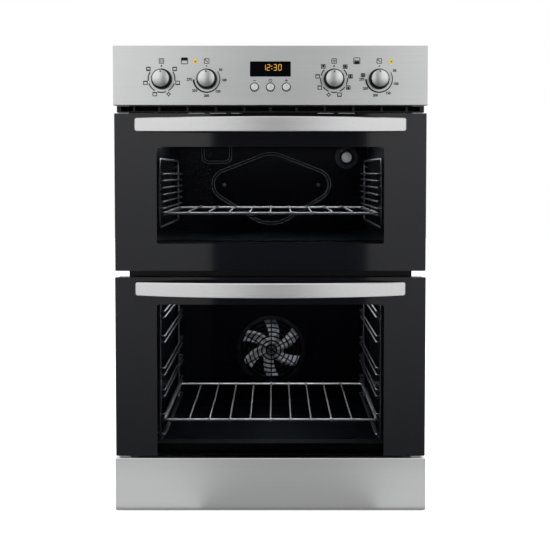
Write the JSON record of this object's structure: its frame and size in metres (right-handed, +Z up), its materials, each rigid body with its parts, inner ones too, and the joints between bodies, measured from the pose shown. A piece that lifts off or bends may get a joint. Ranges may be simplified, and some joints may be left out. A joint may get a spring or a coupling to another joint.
{
  "type": "wall oven",
  "caption": "Built-in double oven with drop-down black glass doors, bowed steel handles, steel control panel with round knobs and a clock, wire shelves and a fan in the main oven.",
  "frame": {"origin": "middle of the footprint of the base, on its underside", "axes": "+X right seen from the front, -Y out of the front, +Z up"},
  "size_m": [0.594, 0.6156, 0.888],
  "materials": {
    "stainless": "fine horizontal brushed grain, satin",
    "handle_steel": "brushed along its length, satin",
    "button_silver": "silver coated, satin",
    "black_plastic": "moulded, matt",
    "door_glass": "polished, tinted black with a printed border",
    "display_glass": "polished, smoked",
    "amber_lens": "translucent amber, polished",
    "black_enamel": "black enamel, semi-gloss",
    "cavity_enamel": "black vitreous enamel with fine specks, gloss",
    "galvanised": "zinc coated sheet, dull",
    "wire_chrome": "plated wire, bright",
    "lamp_glass": "ribbed heat resistant glass",
    "fan_steel": "plain rolled steel",
    "element_sheath": "dark oxidised sheath",
    "seal_rubber": "braided and silicone, matt",
    "zinc_screws": "zinc plated, dull"
  },
  "bodies": {
    "carcass": {"base_plate": "galvanised", "bottom_trim": "stainless", "control_chassis": "galvanised", "cooling_fan_housing": "galvanised", "display_lens": "display_glass", "fan_cover": "fan_steel", "fan_motor": "fan_steel", "fascia": "stainless", "front_frame": "black_enamel", "front_rails": "black_enamel", "gasket_main": "seal_rubber", "gasket_upper": "seal_rubber", "hinge_brackets_main": "zinc_screws", "hinge_brackets_upper": "zinc_screws", "indicator_lenses": "amber_lens", "main_cavity": "cavity_enamel", "main_cavity_back": "cavity_enamel", "main_grill_element": "element_sheath", "main_rack_left": "wire_chrome", "main_rack_right": "wire_chrome", "rear_cover": "galvanised", "ring_element": "element_sheath", "screws": "zinc_screws", "selector_switches": "black_plastic", "side_panel_left": "galvanised", "side_panel_right": "galvanised", "terminal_block": "black_plastic", "timer_module": "black_plastic", "top_cover": "galvanised", "upper_cavity": "cavity_enamel", "upper_cavity_back": "cavity_enamel", "upper_grill_element": "element_sheath", "upper_lamp_bezel": "wire_chrome", "upper_lamp_lens": "lamp_glass", "upper_rack_left": "wire_chrome", "upper_rack_right": "wire_chrome", "vent_trim": "black_plastic"},
    "upper_door": {"upper_door_glass": "door_glass", "upper_door_inner_glass": "door_glass", "upper_door_frame": "black_enamel", "upper_handle": "handle_steel"},
    "main_door": {"main_door_glass": "door_glass", "main_door_inner_glass": "door_glass", "main_door_frame": "black_enamel", "main_handle": "handle_steel"},
    "knob_upper_function": {"knob_core_1": "black_plastic", "knob_cap_1": "handle_steel"},
    "knob_upper_temperature": {"knob_core_2": "black_plastic", "knob_cap_2": "handle_steel"},
    "knob_main_function": {"knob_core_3": "black_plastic", "knob_cap_3": "handle_steel"},
    "knob_main_temperature": {"knob_core_4": "black_plastic", "knob_cap_4": "handle_steel"},
    "key_minus": {"button_minus": "button_silver"},
    "key_clock": {"button_clock": "button_silver"},
    "key_plus": {"button_plus": "button_silver"},
    "shelf_upper": {"upper_shelf": "wire_chrome"},
    "shelf_main": {"main_shelf": "wire_chrome"},
    "fan_rotor": {"convection_fan": "fan_steel"},
    "blower_rotor": {"cooling_fan": "fan_steel"}
  },
  "joints": [
    {"name": "upper_door_hinge", "type": "hinge", "parent": "carcass", "child": "upper_door", "pos_m": [0, -0.275, 0.4697], "axis": [1, 0, 0], "range_deg": [0, 90], "stiffness_Nm_per_rad": 2, "springref_deg": -20.05},
    {"name": "main_door_hinge", "type": "hinge", "parent": "carcass", "child": "main_door", "pos_m": [0, -0.275, 0.1145], "axis": [1, 0, 0], "range_deg": [0, 90], "stiffness_Nm_per_rad": 2.5, "springref_deg": -20.05},
    {"name": "upper_function_turn", "type": "hinge", "parent": "carcass", "child": "knob_upper_function", "pos_m": [-0.205, -0.29, 0.825], "axis": [0, 1, 0], "continuous": true},
    {"name": "upper_temperature_turn", "type": "hinge", "parent": "carcass", "child": "knob_upper_temperature", "pos_m": [-0.12, -0.29, 0.825], "axis": [0, 1, 0], "range_deg": [0, 270]},
    {"name": "main_function_turn", "type": "hinge", "parent": "carcass", "child": "knob_main_function", "pos_m": [0.12, -0.29, 0.825], "axis": [0, 1, 0], "continuous": true},
    {"name": "main_temperature_turn", "type": "hinge", "parent": "carcass", "child": "knob_main_temperature", "pos_m": [0.205, -0.29, 0.825], "axis": [0, 1, 0], "range_deg": [0, 270]},
    {"name": "key_minus_press", "type": "slide", "parent": "carcass", "child": "key_minus", "axis": [0, 1, 0], "range_m": [0, 0.0018], "stiffness_N_per_m": 400, "springref_m": -0.0005},
    {"name": "key_clock_press", "type": "slide", "parent": "carcass", "child": "key_clock", "axis": [0, 1, 0], "range_m": [0, 0.0018], "stiffness_N_per_m": 400, "springref_m": -0.0005},
    {"name": "key_plus_press", "type": "slide", "parent": "carcass", "child": "key_plus", "axis": [0, 1, 0], "range_m": [0, 0.0018], "stiffness_N_per_m": 400, "springref_m": -0.0005},
    {"name": "upper_shelf_slide", "type": "slide", "parent": "carcass", "child": "shelf_upper", "axis": [0, 1, 0], "range_m": [-0.003, 0.04]},
    {"name": "main_shelf_slide", "type": "slide", "parent": "carcass", "child": "shelf_main", "axis": [0, 1, 0], "range_m": [-0.003, 0.04]},
    {"name": "convection_fan_spin", "type": "hinge", "parent": "carcass", "child": "fan_rotor", "pos_m": [0, 0.205, 0.231], "axis": [0, 1, 0], "continuous": true},
    {"name": "cooling_fan_spin", "type": "hinge", "parent": "carcass", "child": "blower_rotor", "pos_m": [0, 0.12, 0.8], "axis": [1, 0, 0], "continuous": true}
  ]
}
